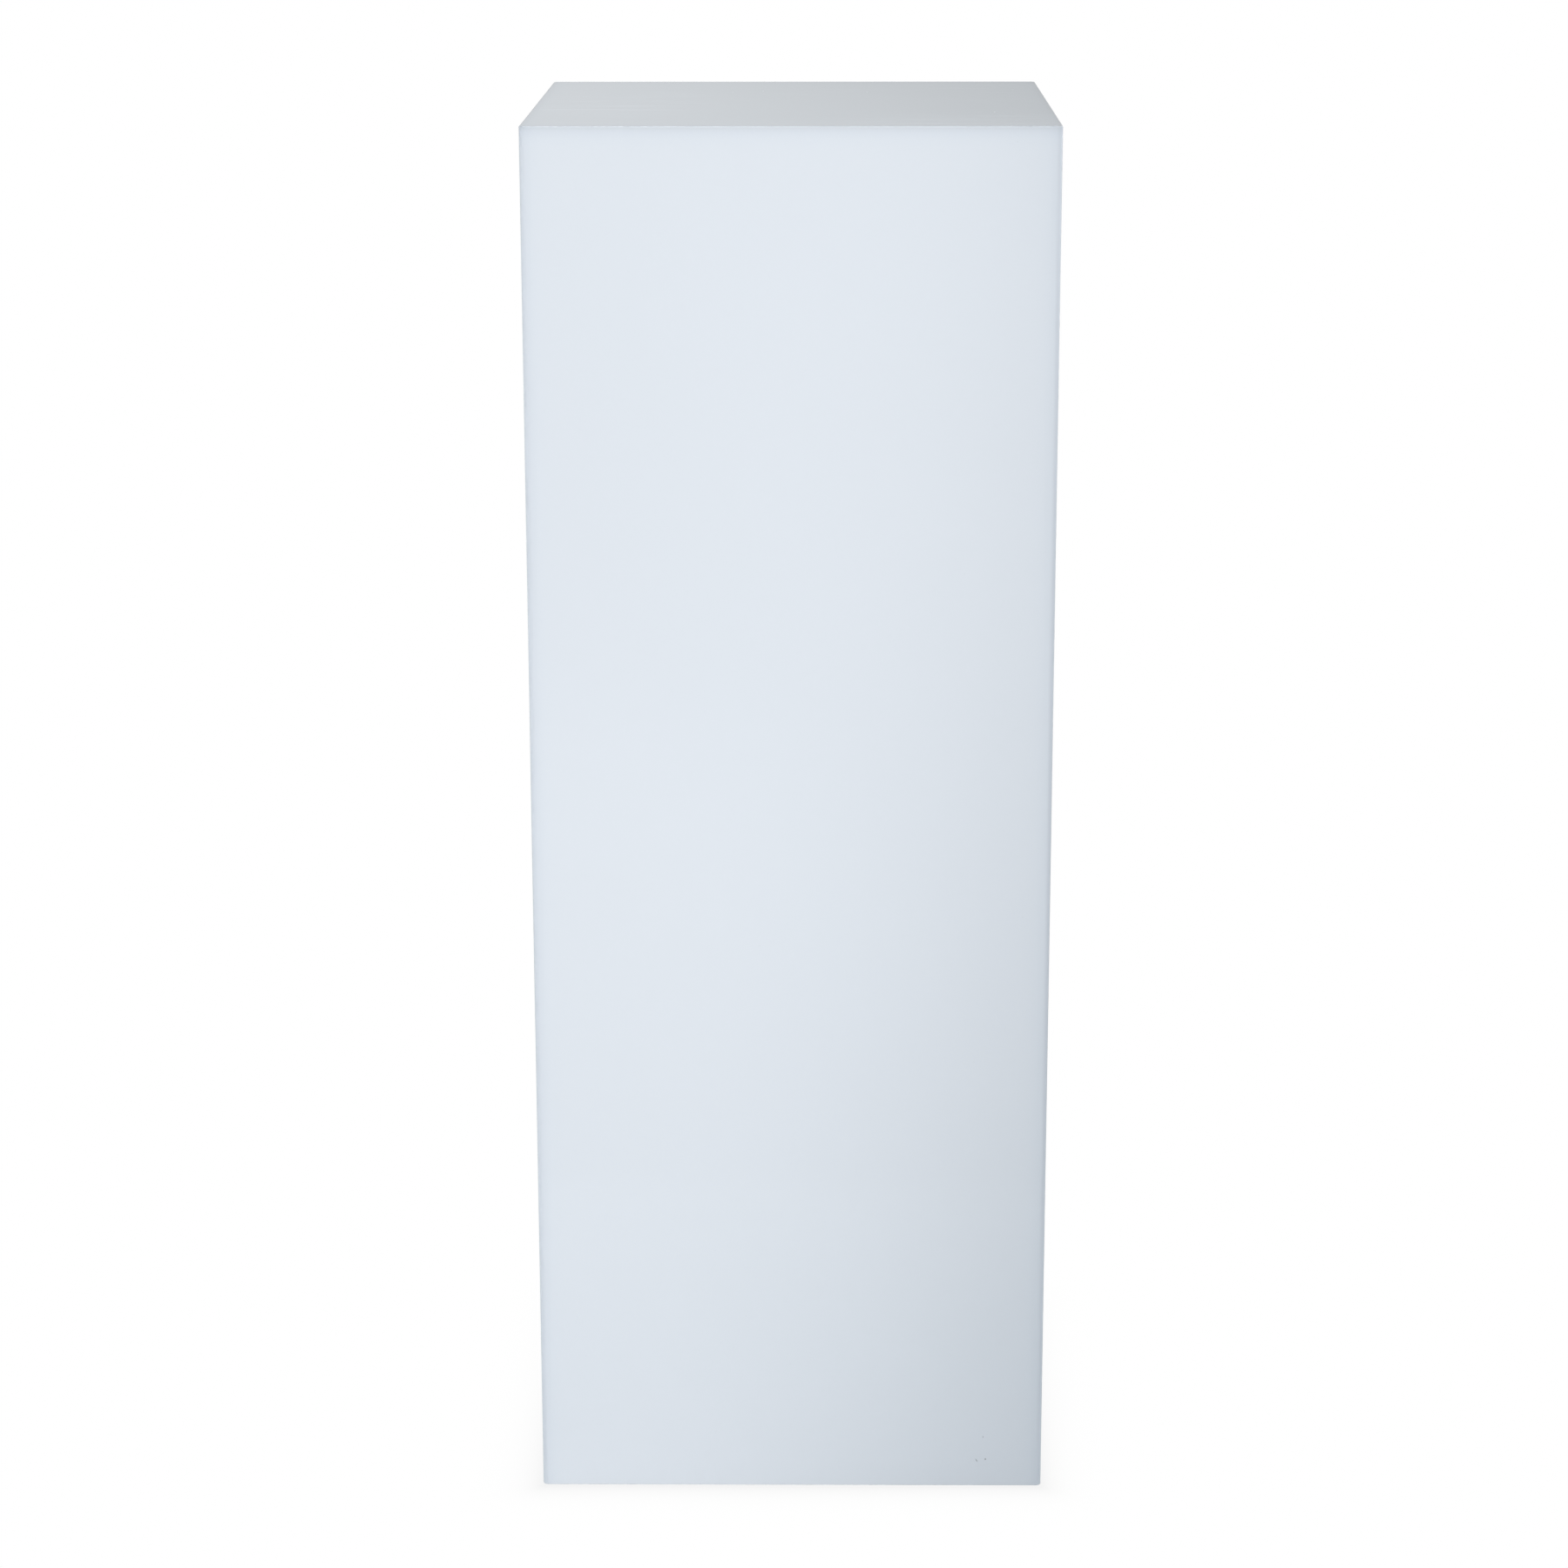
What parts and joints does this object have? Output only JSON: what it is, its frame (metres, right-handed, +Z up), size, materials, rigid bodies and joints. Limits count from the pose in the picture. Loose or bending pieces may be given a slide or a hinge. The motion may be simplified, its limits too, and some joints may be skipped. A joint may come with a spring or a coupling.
{
  "type": "display pedestal",
  "caption": "Tall square display pedestal in glossy white acrylic: a mitred five-sided box with a flat top, open underneath, on low bumper feet.",
  "frame": {"origin": "on the floor, under the middle of the pedestal, at the level of the feet's treads", "axes": "+Z up, +Y towards the back panel, +X towards the right panel as seen from the front"},
  "size_m": [0.3938, 0.3938, 1.0668],
  "materials": {
    "white_acrylic": "gloss cast sheet, translucent white, arrises buffed",
    "white_acrylic_offcut": "gloss cast sheet with saw-cut and scraped edges",
    "clear_acrylic": "clear extruded rod",
    "clear_urethane": "clear soft polyurethane"
  },
  "bodies": {
    "root": {"top_panel": "white_acrylic", "front_panel": "white_acrylic", "right_panel": "white_acrylic", "back_panel": "white_acrylic", "left_panel": "white_acrylic", "top_ledger_front": "clear_acrylic", "top_ledger_right": "clear_acrylic", "top_ledger_back": "clear_acrylic", "top_ledger_left": "clear_acrylic", "base_rail_front": "white_acrylic_offcut", "base_rail_right": "white_acrylic_offcut", "base_rail_back": "white_acrylic_offcut", "base_rail_left": "white_acrylic_offcut", "corner_rod_front_left": "clear_acrylic", "corner_rod_front_right": "clear_acrylic", "corner_rod_back_right": "clear_acrylic", "corner_rod_back_left": "clear_acrylic", "foot_front_left": "clear_urethane", "foot_front_right": "clear_urethane", "foot_back_right": "clear_urethane", "foot_back_left": "clear_urethane"}
  },
  "joints": []
}
